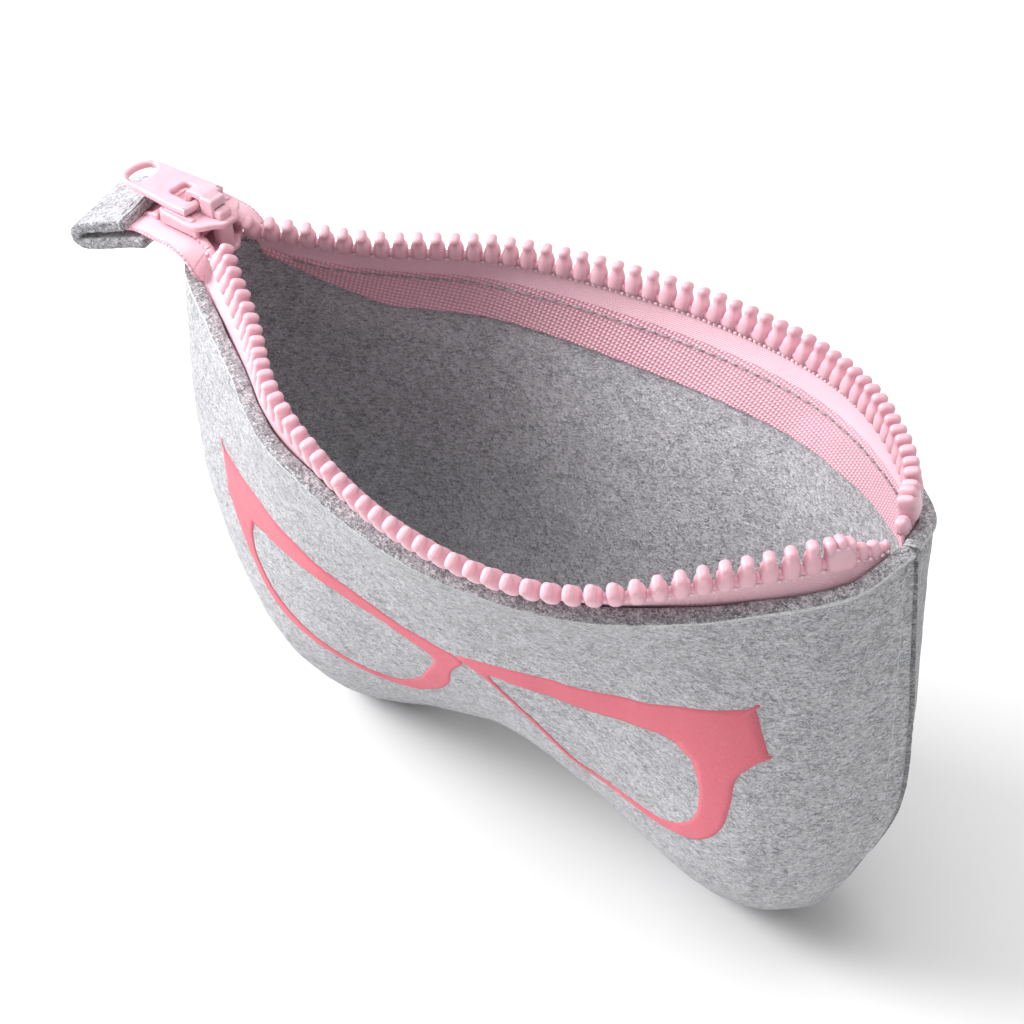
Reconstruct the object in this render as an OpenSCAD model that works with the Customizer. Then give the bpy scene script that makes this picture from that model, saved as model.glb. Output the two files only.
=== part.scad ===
// Felt pouch for a pair of glasses, with a coarse moulded-tooth zip across its mouth.
// Millimetres, +Z up. X runs along the zip, the printed front faces -Y, and the pouch
// stands on the two lobes of its lower edge at z = 0. The mouth is modelled open.

/* [Pouch] */
// Distance between the two side seams
pouch_length = 177; // [165:1:185]
// Half of the width of the open mouth, front to back
mouth_half_depth = 43.7; // [36:0.1:46]
// Height of the felt edge at the middle of the mouth
mouth_height = 97; // [92:0.5:102]
// Thickness of the felt
felt_t = 3.2; // [2.4:0.1:3.6]
// Thickness of the felt in the end tab, where it is pressed
tab_felt_t = 2.4; // [2:0.1:3.2]
// Height of the nose notch between the two lobes
notch_height = 15; // [8:0.5:20]
// Fullness of the lower edge, as the angle of the felt from upright
lower_fullness = 56; // [35:1:62]

/* [Zip] */
// Distance from one tooth to the next in a row
tooth_pitch = 3.9; // [3.6:0.1:4.2]
// Number of teeth in each row
teeth_per_row = 46; // [30:1:46]
// Length of a tooth across the tape
tooth_length = 5.3; // [4.5:0.1:5.6]
// Width of the head of a tooth along the tape
tooth_width = 2.2; // [2:0.1:2.7]
// Width of the shoulders of a tooth along the tape
shoulder_width = 3.3; // [2.8:0.1:3.4]
// Thickness of a tooth
tooth_thickness = 3.6; // [3:0.1:4.2]
// Width of each tape
tape_width = 16; // [12:0.5:17]
// Thickness of each tape
tape_t = 0.7; // [0.5:0.1:0.9]
// Bare tape between the teeth and the edge of the felt
bare_tape = 5; // [4:0.5:6]

/* [Slider] */
// Length of the slider
slider_length = 16; // [15:0.5:17]
// Width of the slider at its shoulders
slider_width = 13.6; // [13.2:0.1:15]
// Length of the pull tab from its bar to its tip
pull_length = 21; // [16:0.5:24]
// Width of the pull tab at its bar
pull_width = 11.6; // [9:0.1:12]
// Diameter of the bar of the pull tab
pull_bar_d = 1.8; // [1.4:0.1:2]

/* [End tab] */
// Length of the folded felt tab
tab_length = 17; // [14:0.5:20]
// Width of the folded felt tab
tab_width = 20; // [19.5:0.5:22]
// Downward slope of the tab
tab_droop = 18; // [10:1:20]

/* [Hidden] */

// Shift of the pouch that centres the box of the whole object on x = 0 and y = 0
middle_x = 12.8;
middle_y = 1.3;
half_l = pouch_length / 2;

// Edge of the mouth, from the left seam to the right seam. Each row is the place along
// the pouch and the depth as shares of their half sizes, and the height above the middle.
mouth_edge = [
    [-1, 0, 7.5], [-0.94, 0.19, 7], [-0.69, 0.485, 3.4],
    [-0.41, 0.81, 2], [0.02, 1, 0], [0.395, 0.96, 1.4],
    [0.68, 0.72, 5.2], [0.92, 0.33, 9.3], [0.99, 0, 13.2]
];
mouth_points = [for (p = mouth_edge) [p[0]*half_l, p[1]*mouth_half_depth, mouth_height + p[2]]];
// Lean of the felt and tape at the mouth, evenly spaced from left to right: 0 hangs
// straight down and 90 lies flat
front_lean = [52, 29, 6, -30, -42, 1, 21];
rear_lean = [37, 22, 10, -19, -18, -1, 17];

// Lower edge from the left corner to the right corner, then the two side seams
lower_half = [[0.9, 24.3], [0.763, 5.2], [0.53, -0.5], [0.255, notch_height - 5.6]];
lower_points = concat(
    [for (p = lower_half) [-p[0]*half_l, p[1]]],
    [[0, notch_height]],
    [for (i = [3:-1:0]) [lower_half[i][0]*half_l, lower_half[i][1]]]
);
side_swell = [0.996, 1.003, 0.988];
function side_points(top, corner, sign) = [
    [top[0], top[2]],
    for (i = [0:2]) [sign*side_swell[i]*half_l, top[2] + (corner[1] - top[2])*(i + 1)/4],
    corner
];
left_side = side_points(mouth_points[0], lower_points[0], -1);
right_side = side_points(mouth_points[8], lower_points[8], 1);

// Reach of the two bends of a panel, as shares of its height
upper_reach = 0.35;
lower_reach = 0.34;
// Felt left inside the flat patches that the pouch stands on
foot_felt = 2.2;
// Half gap between the two panels along their seam
seam_gap = 0.05;
// Cells of a panel along the mouth and down
cells_u = 56;
cells_v = 18;

// Zip line at the slider, the spread of the two tape cords there, and the cord itself
zip_z = 110;
cord_spread = 4.4;
cord_r = 0.9;
cord_lift = felt_t/2 + 0.5;
slider_x = -87.5;
first_mouth_cell = 8;
last_mouth_cell = 54;
// Clearance between the tape and the felt
tape_clear = 0.15;
// Part of a tooth behind the cord, and the length of its shoulders from there
tooth_root = 1.3;
shoulder_length = 3.2;
plate_t = 1.4;
plate_in = 2.6;
plate_out = plate_in + plate_t;
bar_z = 5.5;
bar_x = -0.5;
crown_w = 3.8;
window_w = 4.6;
print_t = 0.25;

felt_grey = [0.72, 0.72, 0.74];
zip_pink = [0.96, 0.78, 0.83];
print_pink = [0.93, 0.50, 0.54];
thread_grey = [0.60, 0.58, 0.60];

// ---- Curves ----

function unit(v) = v / norm(v);
function clamp(x, lo, hi) = min(max(x, lo), hi);
function mix(a, b, f) = a + (b - a)*f;

// Smooth curve through the rows of p, with t from 0 to 1
function spline(p, t) =
    let (n = len(p) - 1, x = clamp(t, 0, 1)*n, i = min(floor(x), n - 1), f = x - i)
    let (a = i == 0 ? 2*p[0] - p[1] : p[i - 1], b = p[i], c = p[i + 1])
    let (d = i == n - 1 ? 2*p[n] - p[n - 1] : p[i + 2])
    (2*b + (c - a)*f + (2*a - 5*b + 4*c - d)*f^2 + (3*b - a - 3*c + d)*f^3) / 2;

// Smooth closed curve through the rows of p
function ring_spline(p, t) =
    let (n = len(p), x = t*n, i = floor(x) % n, f = x - floor(x))
    let (a = p[(i + n - 1) % n], b = p[i], c = p[(i + 1) % n], d = p[(i + 2) % n])
    (2*b + (c - a)*f + (2*a - 5*b + 4*c - d)*f^2 + (3*b - a - 3*c + d)*f^3) / 2;

function bezier(a, b, c, d, t) =
    a*(1 - t)^3 + 3*b*t*(1 - t)^2 + 3*c*t^2*(1 - t) + d*t^3;

// ---- Panels. Everything is worked out for the rear one, and the front is its mirror ----

function mouth_along(u) =
    let (t = spline(mouth_points, min(u + 0.005, 1)) - spline(mouth_points, max(u - 0.005, 0)))
    unit([t[0], t[1]]);
function down_dir(u, lean) =
    let (t = mouth_along(u), a = spline(lean, u))
    [-t[1]*sin(a), t[0]*sin(a), -cos(a)];
function out_dir(u, lean) =
    let (t = mouth_along(u), a = spline(lean, u))
    [-t[1]*cos(a), t[0]*cos(a), sin(a)];

function panel_strip(u, v, lean) =
    let (a = spline(mouth_points, u), low = spline(lower_points, u), d = [low[0], 0, low[1]])
    let (reach = norm(a - d), full = sin(lower_fullness)*clamp(a[1]/20, 0, 1))
    let (b = a + down_dir(u, lean)*upper_reach*reach)
    let (c = d + unit([0, full, cos(lower_fullness)])*lower_reach*reach)
    bezier(a, b, c, d, v);

function side_shift(side, u_end, v, lean) =
    let (p = spline(side, v))
    [p[0], 0, p[1]] - panel_strip(u_end, v, lean);

function panel_mid(u, v, lean) =
    panel_strip(u, v, lean)
    + side_shift(left_side, 0, v, lean)*(1 - u)^3
    + side_shift(right_side, 1, v, lean)*u^3;

function panel_out(u, v, lean) =
    let (e = 0.004, u0 = max(u - e, 0), u1 = min(u + e, 1), v0 = max(v - e, 0), v1 = min(v + e, 1))
    unit(cross(
        panel_mid(u1, v, lean) - panel_mid(u0, v, lean),
        panel_mid(u, v1, lean) - panel_mid(u, v0, lean)
    ));

function hold(p, floor_z) = [p[0], max(p[1], seam_gap), max(p[2], floor_z)];
function panel_point(u, v, lean, lift, floor_z) =
    hold(panel_mid(u, v, lean) + panel_out(u, v, lean)*lift, floor_z);

// Faces of a closed slab whose two skins are grids of (nu + 1) by (nv + 1) points,
// first the skin on the near side and then the one on the far side
function slab_faces(nu, nv) =
    let (w = nv + 1, skin = (nu + 1)*(nv + 1))
    concat(
        [for (i = [0:nu - 1], j = [0:nv - 1]) each
            [[i*w + j, (i + 1)*w + j + 1, i*w + j + 1], [i*w + j, (i + 1)*w + j, (i + 1)*w + j + 1]]],
        [for (i = [0:nu - 1], j = [0:nv - 1]) let (a = skin + i*w + j, b = a + w) each
            [[a, a + 1, b + 1], [a, b + 1, b]]],
        [for (i = [0:nu - 1]) let (a = i*w, b = a + w) each
            [[a, skin + b, b], [a, skin + a, skin + b]]],
        [for (i = [0:nu - 1]) let (a = i*w + nv, b = a + w) each
            [[a, b, skin + b], [a, skin + b, skin + a]]],
        [for (j = [0:nv - 1]) let (a = j) each
            [[a, a + 1, skin + a + 1], [a, skin + a + 1, skin + a]]],
        [for (j = [0:nv - 1]) let (a = nu*w + j) each
            [[a, skin + a + 1, a + 1], [a, skin + a, skin + a + 1]]]
    );

module felt_panel(lean) {
    outer = [for (i = [0:cells_u], j = [0:cells_v])
        panel_point(i/cells_u, j/cells_v, lean, felt_t/2, -9)];
    inner = [for (i = [0:cells_u], j = [0:cells_v])
        panel_point(i/cells_u, j/cells_v, lean, -felt_t/2, foot_felt)];
    difference() {
        polyhedron(concat(inner, outer), slab_faces(cells_u, cells_v), convexity = 6);
        translate([-half_l, -1, -10])
            cube([2*half_l, mouth_half_depth, 10]);
    }
}

// ---- Zip ----

// Stations of one side of the zip, as a place on the tape cord, the direction across
// the tape away from the teeth, and the width of tape there
function droop_z(x) = x > tab_start ? 0 : (x - tab_start)*tan(tab_droop);
tab_start = -98;
free_stations = [for (p = [
    [-111, cord_spread, 90], [-107, cord_spread, 90], [-103, cord_spread, 90], [-98, cord_spread, 90],
    [-93, cord_spread, 90], [-88, cord_spread, 88], [-84, 4.8, 78], [-81, 5.5, 60]
]) [[p[0], p[1], zip_z + droop_z(p[0]) - max(p[0] + 84, 0)*0.4], [0, sin(p[2]), -cos(p[2])]]];

function mouth_cord(u, lean) =
    spline(mouth_points, u) - down_dir(u, lean)*bare_tape - out_dir(u, lean)*cord_lift;

function zip_stations(lean) = concat(free_stations,
    [for (i = [first_mouth_cell:last_mouth_cell]) let (u = i/cells_u)
        [mouth_cord(u, lean), down_dir(u, lean)]]);

function running_length(p, i = 0, s = 0) =
    i >= len(p) - 1 ? [s] : concat([s], running_length(p, i + 1, s + norm(p[i + 1] - p[i])));
function column(table, key, c) = [for (i = [0:len(key) - 1]) [key[i], table[i][c]]];
function at_length(table, key, s) = [for (c = [0:2]) lookup(s, column(table, key, c))];

// Place, direction across and direction along of each tooth of a row
teeth_start = 34.9;
function tooth_frames(lean, first, count) =
    let (st = zip_stations(lean), cords = [for (s = st) s[0]], ways = [for (s = st) s[1]])
    let (key = running_length(cords))
    [for (k = [0:count - 1]) let (s = first + k*tooth_pitch)
        let (across = unit(at_length(ways, key, s)))
        let (along = at_length(cords, key, s + 1) - at_length(cords, key, s - 1))
        let (straight = unit(along - across*(along*across)))
        [at_length(cords, key, s), across, straight]];

// Puts the children on a station: x along the tape, y towards the teeth, z out of the tape
module on_tape(frame) {
    x = frame[2];
    y = -frame[1];
    z = cross(x, y);
    p = frame[0];
    multmatrix([
        [x[0], y[0], z[0], p[0]],
        [x[1], y[1], z[1], p[1]],
        [x[2], y[2], z[2], p[2]],
        [0, 0, 0, 1]
    ]) children();
}

module tooth() {
    neck = tooth_width*0.86;
    head_r = tooth_width/2;
    translate([-shoulder_width/2, -tooth_root, -tooth_thickness/2])
        cube([shoulder_width, shoulder_length, tooth_thickness]);
    translate([-neck/2, 0, -tooth_thickness*0.42])
        cube([neck, tooth_length - head_r, tooth_thickness*0.84]);
    translate([0, tooth_length - head_r, -tooth_thickness/2])
        cylinder(h = tooth_thickness, r = head_r, $fn = 32);
}

module teeth_row(lean, offset) {
    for (frame = tooth_frames(lean, teeth_start + offset, teeth_per_row))
        on_tape(frame) tooth();
}

module top_stop_block(lean, offset) {
    first = teeth_start + offset + teeth_per_row*tooth_pitch;
    frame = tooth_frames(lean, first + 0.6, 1)[0];
    size = 4.6;
    thick = 4;
    root = 1.4;
    bump_r = 1.2;
    on_tape(frame) translate([0, 0, -thick/2]) {
        translate([-1.9, -root, 0]) cube([size, size, thick]);
        for (x = [-0.7, 1.5])
            translate([x, size - root, 0]) cylinder(h = thick, r = bump_r, $fn = 32);
    }
}

module swept_tube(centres, radius, sides) {
    n = len(centres);
    points = [for (i = [0:n - 1])
        let (t = unit(centres[min(i + 1, n - 1)] - centres[max(i - 1, 0)]))
        let (a = unit(cross(t, [0, 0, 1])), b = cross(a, t))
        for (k = [0:sides - 1]) let (w = 360*k/sides)
            centres[i] + a*cos(w)*radius + b*sin(w)*radius];
    walls = [for (i = [0:n - 2], k = [0:sides - 1])
        let (a = i*sides + k, b = i*sides + (k + 1) % sides) each
        [[a, b + sides, a + sides], [a, b, b + sides]]];
    polyhedron(points, concat(
        [[for (k = [sides - 1:-1:0]) k]],
        walls,
        [[for (k = [0:sides - 1]) (n - 1)*sides + k]]
    ), convexity = 8);
}

module tape_cord(lean) {
    swept_tube([for (s = zip_stations(lean)) s[0]], cord_r, 8);
}

// Tape, as rows from the cord to the free edge. Beside the slider it is a narrow flat
// band, and along the mouth it runs down the inside of the felt.
free_width = 5;
// Shares of the mouth where the tape starts to widen and where it has its whole width
widen_from = 0.14;
widen_to = 0.26;
// Part of the bare tape over which it turns from the cord to the inside of the felt
tape_turn = 0.6;
function width_at(u) =
    mix(free_width + 1, tape_width, clamp((u - widen_from)/(widen_to - widen_from), 0, 1));
function tape_rows(lean) = concat(
    [for (s = free_stations) let (flat = unit(s[1]))
        [for (w = [0, 0.25, 0.5, 0.75, 1]) s[0] + flat*w*free_width]],
    [for (i = [first_mouth_cell:last_mouth_cell])
        let (u = i/cells_u, cord = mouth_cord(u, lean), way = down_dir(u, lean))
        let (inside = width_at(u) - bare_tape)
        let (tall = norm(panel_mid(u, 0.1, lean) - panel_mid(u, 0, lean))*10)
        let (lift = -felt_t/2 - tape_clear - tape_t/2)
        concat([cord, cord + way*(bare_tape - tape_turn)],
            [for (w = [0.33, 0.67, 1])
                panel_mid(u, w*inside/tall, lean) + panel_out(u, w*inside/tall, lean)*lift])]
);
function row_out(rows, i, j) =
    let (n = len(rows) - 1, a = rows[min(i + 1, n)][j] - rows[max(i - 1, 0)][j])
    let (b = rows[i][min(j + 1, 4)] - rows[i][max(j - 1, 0)])
    unit(cross(b, a));

module zip_tape(lean) {
    rows = tape_rows(lean);
    n = len(rows) - 1;
    upper = [for (i = [0:n], j = [0:4]) rows[i][j] + row_out(rows, i, j)*tape_t/2];
    lower = [for (i = [0:n], j = [0:4]) rows[i][j] - row_out(rows, i, j)*tape_t/2];
    polyhedron(concat(upper, lower), slab_faces(n, 4), convexity = 8);
}

// ---- Stitches ----

// A straight thread from a to b
module thread(a, b, r = 0.35) {
    d = b - a;
    translate(a)
        rotate([0, acos(d[2]/norm(d)), atan2(d[1], d[0])])
        cylinder(h = norm(d), r = r, $fn = 16);
}

module tape_stitches(lean, count = 44) {
    drop = 0.022;
    first_u = 0.19;
    last_u = 0.95;
    for (k = [0:count - 1]) {
        u = mix(first_u, last_u, k/(count - 1));
        p = panel_mid(u, drop, lean);
        n = panel_out(u, drop, lean);
        thread(p + n*(felt_t/2 + 0.3), p - n*(felt_t/2 + tape_clear + tape_t + 0.3));
    }
}

// ---- Sub-parts ----

module place() {
    translate([middle_x, middle_y, 0]) children();
}

module front_felt_panel() {
    color(felt_grey) place() mirror([0, 1, 0]) felt_panel(front_lean);
}

module rear_felt_panel() {
    color(felt_grey) place() felt_panel(rear_lean);
}

// Outline of each printed lens in the panel's own u and v: outer point, then inner point
right_lens = [
    [0.500, 0.425, 0.536, 0.452], [0.540, 0.402, 0.560, 0.449], [0.598, 0.380, 0.598, 0.442],
    [0.652, 0.358, 0.650, 0.428], [0.715, 0.306, 0.702, 0.388], [0.765, 0.256, 0.736, 0.360],
    [0.822, 0.226, 0.756, 0.358], [0.822, 0.226, 0.756, 0.358], [0.840, 0.335, 0.773, 0.380],
    [0.840, 0.335, 0.773, 0.380], [0.816, 0.385, 0.781, 0.425], [0.812, 0.456, 0.782, 0.472],
    [0.804, 0.530, 0.778, 0.520], [0.780, 0.588, 0.764, 0.562], [0.740, 0.625, 0.736, 0.604],
    [0.688, 0.660, 0.686, 0.644], [0.632, 0.684, 0.634, 0.670], [0.592, 0.640, 0.597, 0.628],
    [0.556, 0.556, 0.563, 0.552], [0.526, 0.470, 0.536, 0.476]
];
left_lens = [
    [0.484, 0.510, 0.466, 0.496], [0.466, 0.602, 0.453, 0.545], [0.432, 0.682, 0.426, 0.628],
    [0.388, 0.712, 0.390, 0.672], [0.345, 0.655, 0.350, 0.640], [0.300, 0.592, 0.310, 0.575],
    [0.270, 0.540, 0.284, 0.522], [0.250, 0.469, 0.264, 0.462], [0.236, 0.385, 0.258, 0.400],
    [0.210, 0.325, 0.261, 0.350], [0.210, 0.325, 0.261, 0.350], [0.216, 0.222, 0.272, 0.318],
    [0.216, 0.222, 0.272, 0.318], [0.300, 0.232, 0.296, 0.314], [0.345, 0.256, 0.330, 0.325],
    [0.385, 0.298, 0.376, 0.346], [0.417, 0.334, 0.410, 0.376], [0.446, 0.380, 0.436, 0.412],
    [0.478, 0.412, 0.452, 0.440], [0.504, 0.440, 0.466, 0.466]
];

// A printed ring, lens(t, f) runs from its outer edge at f = 0 to its inner edge at f = 1
module printed_ring(lens) {
    around = 72;
    across = 3;
    function spot(i, j, lift) =
        let (r = ring_spline(lens, (i % around)/around), f = j/across)
        panel_point(mix(r[0], r[2], f), mix(r[1], r[3], f), front_lean, felt_t/2 + lift, 0);
    w = across + 1;
    skin = around*w;
    low = 0.12;
    points = concat(
        [for (i = [0:around - 1], j = [0:across]) spot(i, j, low)],
        [for (i = [0:around - 1], j = [0:across]) spot(i, j, low + print_t)]);
    faces = [for (i = [0:around - 1]) let (m = (i + 1) % around) each concat(
        [for (j = [0:across - 1]) let (a = i*w + j, b = m*w + j) each
            [[a, b, b + 1], [a, b + 1, a + 1]]],
        [for (j = [0:across - 1]) let (a = skin + i*w + j, b = skin + m*w + j) each
            [[a, b + 1, b], [a, a + 1, b + 1]]],
        [[i*w, skin + m*w, m*w], [i*w, skin + i*w, skin + m*w]],
        [[i*w + across, m*w + across, skin + m*w + across],
         [i*w + across, skin + m*w + across, skin + i*w + across]]
    )];
    polyhedron(points, faces, convexity = 6);
}

module front_print() {
    color(print_pink) place() mirror([0, 1, 0]) {
        printed_ring(left_lens);
        printed_ring(right_lens);
    }
}

module front_zip_tape() {
    color(zip_pink) place() mirror([0, 1, 0]) zip_tape(front_lean);
}

module rear_zip_tape() {
    color(zip_pink) place() zip_tape(rear_lean);
}

module front_tape_cord() {
    color(zip_pink) place() mirror([0, 1, 0]) tape_cord(front_lean);
}

module rear_tape_cord() {
    color(zip_pink) place() tape_cord(rear_lean);
}

module front_teeth() {
    color(zip_pink) place() mirror([0, 1, 0]) teeth_row(front_lean, 0);
}

module rear_teeth() {
    color(zip_pink) place() teeth_row(rear_lean, tooth_pitch/2);
}

module front_top_stop() {
    color(zip_pink) place() mirror([0, 1, 0]) top_stop_block(front_lean, 0);
}

module rear_top_stop() {
    color(zip_pink) place() top_stop_block(rear_lean, tooth_pitch/2);
}

// Block that joins the two tapes just behind the slider
module bottom_stop() {
    gap = 0.4;
    length = 2.2;
    half_w = cord_spread + 1.3;
    thick = 3.4;
    color(zip_pink) place()
        translate([slider_x - slider_length/2 - gap - length, -half_w, zip_z - thick/2])
        cube([length, 2*half_w, thick]);
}

module slider_plate(z) {
    rear = -slider_length/2;
    nose = slider_length/2;
    half = slider_width/2;
    translate([0, 0, z])
        linear_extrude(plate_t)
        polygon([
            [rear, -half + 1.4], [rear + 1, -half + 0.6], [3.6, -half], [4.6, -half + 0.5],
            [nose - 0.4, -2.2], [nose, -1.2], [nose, 1.2], [nose - 0.4, 2.2],
            [4.6, half - 0.5], [3.6, half], [rear + 1, half - 0.6], [rear, half - 1.4]
        ]);
}

module slider_body() {
    half = slider_width/2;
    wall = 1;
    slot = 0.95;
    color(zip_pink) place() translate([slider_x, 0, zip_z]) {
        slider_plate(plate_in);
        slider_plate(-plate_out);
        for (side = [-1, 1], level = [-1, 1])
            translate([-slider_length/2 + 1, side*(half - 0.6 - wall/2) - wall/2,
                level > 0 ? slot : -plate_in - 0.2])
            cube([10.6, wall, plate_in - slot + 0.2]);
        translate([3.4, -1.3, -plate_in - 0.2])
            cube([3.6, 2.6, 2*plate_in + 0.4]);
        translate([7, 0, -plate_in - 0.2])
            cylinder(h = 2*plate_in + 0.4, r = 1.3, $fn = 32);
    }
}

// Arch on top of the slider that holds the bar of the pull tab
module slider_crown() {
    back = 3.6;
    front = 4.9;
    back_leg = 1.4;
    front_leg = 4;
    rise = bar_z + pull_bar_d/2 + 0.4 - plate_out;
    roof = 1.4;
    color(zip_pink) place() translate([slider_x, crown_w/2, zip_z + plate_out])
        rotate([90, 0, 0])
        linear_extrude(crown_w)
        polygon([
            [-back, 0], [-back, rise], [-back + 1.2, rise + roof],
            [front - 1.2, rise + roof], [front, rise], [front, 0],
            [front - front_leg, 0], [front - front_leg, rise],
            [-back + back_leg, rise], [-back + back_leg, 0]
        ]);
}

module pull_tab() {
    thick = 1.6;
    base_half = pull_width/2;
    tip_half = base_half - 0.6;
    window_l = 6.2;
    eye_r = 2.3;
    eye_half = 1.6;
    color(zip_pink) place() translate([slider_x + bar_x, 0, zip_z + bar_z]) {
        difference() {
            translate([0, 0, -thick/2])
                linear_extrude(thick)
                polygon([
                    [0.2, -base_half], [0.2, base_half], [-8, base_half - 0.2], [-13, tip_half],
                    [-17, tip_half - 0.2], [-pull_length + 1.5, tip_half - 1.2],
                    [-pull_length + 0.3, tip_half - 2.8], [-pull_length, 0],
                    [-pull_length + 0.3, -tip_half + 2.8], [-pull_length + 1.5, -tip_half + 1.2],
                    [-17, -tip_half + 0.2], [-13, -tip_half], [-8, -base_half + 0.2]
                ]);
            translate([-window_l - 0.6, -window_w/2, -thick])
                cube([window_l + 4, window_w, 2*thick]);
            hull() {
                for (side = [-1, 1])
                    translate([-pull_length + 3.6, side*eye_half, -thick])
                        cylinder(h = 2*thick, r = eye_r, $fn = 48);
            }
        }
        translate([0, base_half, 0])
            rotate([90, 0, 0])
            cylinder(h = pull_width, d = pull_bar_d, $fn = 32);
    }
}

// Felt strip folded over the ends of the two tapes
module on_tab() {
    place() translate([tab_start, 0, zip_z]) rotate([0, -tab_droop, 0]) children();
}

// Room between the two layers of the tab, the set-back of its open end and of its stitches
tab_loose = 1.3;
tab_gap = tape_t + 2*tape_clear + tab_loose;
tab_setback = 1.5;
tab_stitch_in = 5;
module end_tab_felt() {
    inner_r = tab_gap/2;
    outer_r = inner_r + tab_felt_t;
    straight = tab_length - outer_r;
    color(felt_grey) on_tab() translate([-tab_setback, tab_width/2, 0]) rotate([90, 0, 0])
        linear_extrude(tab_width)
        difference() {
            union() {
                translate([-straight, -outer_r]) square([straight, 2*outer_r]);
                translate([-straight, 0]) circle(outer_r, $fn = 64);
            }
            translate([-straight, -inner_r]) square([straight + 1, 2*inner_r]);
            translate([-straight, 0]) circle(inner_r, $fn = 48);
        }
}

module end_tab_stitching() {
    outer_r = tab_gap/2 + tab_felt_t;
    color(thread_grey) on_tab()
        for (k = [0:5])
            translate([-tab_stitch_in, mix(2 - tab_width/2, tab_width/2 - 2, k/5), -outer_r - 0.25])
            cylinder(h = 2*outer_r + 0.5, r = 0.35, $fn = 16);
}

module front_tape_stitching() {
    color(thread_grey) place() mirror([0, 1, 0]) tape_stitches(front_lean);
}

module rear_tape_stitching() {
    color(thread_grey) place() tape_stitches(rear_lean);
}

// Stitches that close the side seams and the lower edge
module seam_stitching() {
    inset = 2.6;
    seam = concat(
        [for (k = [1:7]) spline(left_side, k/8)],
        [for (k = [0:28]) spline(lower_points, k/28)],
        [for (k = [7:-1:1]) spline(right_side, k/8)]);
    n = len(seam) - 1;
    color(thread_grey) place()
        for (i = [0:n]) {
            run = seam[min(i + 1, n)] - seam[max(i - 1, 0)];
            inward = unit([-run[1], run[0]])*inset;
            translate([seam[i][0] + inward[0], 2, max(seam[i][1] + inward[1], 1)])
                rotate([90, 0, 0])
                cylinder(h = 4, r = 0.35, $fn = 16);
        }
}

front_felt_panel();
rear_felt_panel();
front_print();
front_zip_tape();
rear_zip_tape();
front_tape_cord();
rear_tape_cord();
front_teeth();
rear_teeth();
front_top_stop();
rear_top_stop();
bottom_stop();
slider_body();
slider_crown();
pull_tab();
end_tab_felt();
end_tab_stitching();
front_tape_stitching();
rear_tape_stitching();
seam_stitching();
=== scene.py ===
import math

import bmesh
import bpy
import numpy as np
from mathutils import Matrix, Vector


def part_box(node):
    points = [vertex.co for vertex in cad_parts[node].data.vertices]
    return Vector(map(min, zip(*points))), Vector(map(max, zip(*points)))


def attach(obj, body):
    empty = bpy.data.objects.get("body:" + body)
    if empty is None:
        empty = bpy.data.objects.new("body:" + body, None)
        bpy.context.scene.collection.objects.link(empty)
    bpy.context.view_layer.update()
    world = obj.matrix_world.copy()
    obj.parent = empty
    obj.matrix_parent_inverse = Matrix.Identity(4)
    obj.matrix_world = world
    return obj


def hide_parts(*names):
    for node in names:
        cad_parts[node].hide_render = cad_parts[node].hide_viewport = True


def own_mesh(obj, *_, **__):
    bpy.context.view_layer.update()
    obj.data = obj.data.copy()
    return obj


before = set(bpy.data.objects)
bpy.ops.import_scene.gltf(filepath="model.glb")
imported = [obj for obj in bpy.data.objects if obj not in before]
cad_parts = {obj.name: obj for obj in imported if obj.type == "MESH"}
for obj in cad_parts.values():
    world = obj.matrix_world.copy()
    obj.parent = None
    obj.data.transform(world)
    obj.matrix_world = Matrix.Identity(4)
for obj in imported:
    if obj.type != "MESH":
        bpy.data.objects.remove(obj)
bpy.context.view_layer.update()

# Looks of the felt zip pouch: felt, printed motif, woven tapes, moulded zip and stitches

MM = 0.001

# ---- Driving dimensions, in millimetres, measured from the middle of the pouch ----

half_l = 88.5
mouth_half_depth = 43.7
mouth_height = 97
felt_t = 3.2
tab_felt_t = 2.4
notch_height = 15
lower_fullness = math.radians(56)
upper_reach = 0.35
lower_reach = 0.34
cells_u = 56

tooth_pitch = 3.9
teeth_per_row = 46
teeth_start = 34.9
tape_width = 16
tape_t = 0.7
tape_clear = 0.15
bare_tape = 5
cord_r = 0.9
cord_spread = 4.4
cord_lift = felt_t / 2 + 0.5
free_width = 6.3

zip_z = 110
slider_x = -87.5
slider_length = 16
slider_width = 13.6
plate_t = 1.4
plate_in = 2.6
plate_out = 4
bar_x = -0.5
bar_z = 5.5
tab_start = -98
tab_droop = math.radians(18)

# The imported slider says where the middle of the pouch is
slider_low, slider_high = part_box("slider_body")
middle_x = slider_low.x / MM + slider_length / 2 - slider_x
middle_y = (slider_low.y + slider_high.y) / 2 / MM
MIDDLE = np.array([middle_x, middle_y, 0])

# Edge of the mouth: shares of the half length and half depth, and height above the middle
mouth_edge = np.array([
    [-1, 0, 7.5], [-0.94, 0.19, 7], [-0.69, 0.485, 3.4],
    [-0.41, 0.81, 2], [0.02, 1, 0], [0.395, 0.96, 1.4],
    [0.68, 0.72, 5.2], [0.92, 0.33, 9.3], [0.99, 0, 13.2],
])
mouth_points = mouth_edge * [half_l, mouth_half_depth, 1] + [0, 0, mouth_height]
# Lean of felt and tape at the mouth, in degrees
front_lean = np.array([[52], [29], [6], [-30], [-42], [1], [21]], float)
rear_lean = np.array([[37], [22], [10], [-19], [-18], [-1], [17]], float)
# Name, side and lean of each half of the pouch
HALVES = (("front", -1, front_lean), ("rear", 1, rear_lean))
lower_half = [[0.9, 24.3], [0.763, 5.2], [0.53, -0.5], [0.255, notch_height - 5.6]]
lower_points = np.array(
    [[-x * half_l, z] for x, z in lower_half]
    + [[0, notch_height]]
    + [[x * half_l, z] for x, z in lower_half[::-1]])
side_swell = [0.996, 1.003, 0.988]


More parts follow.
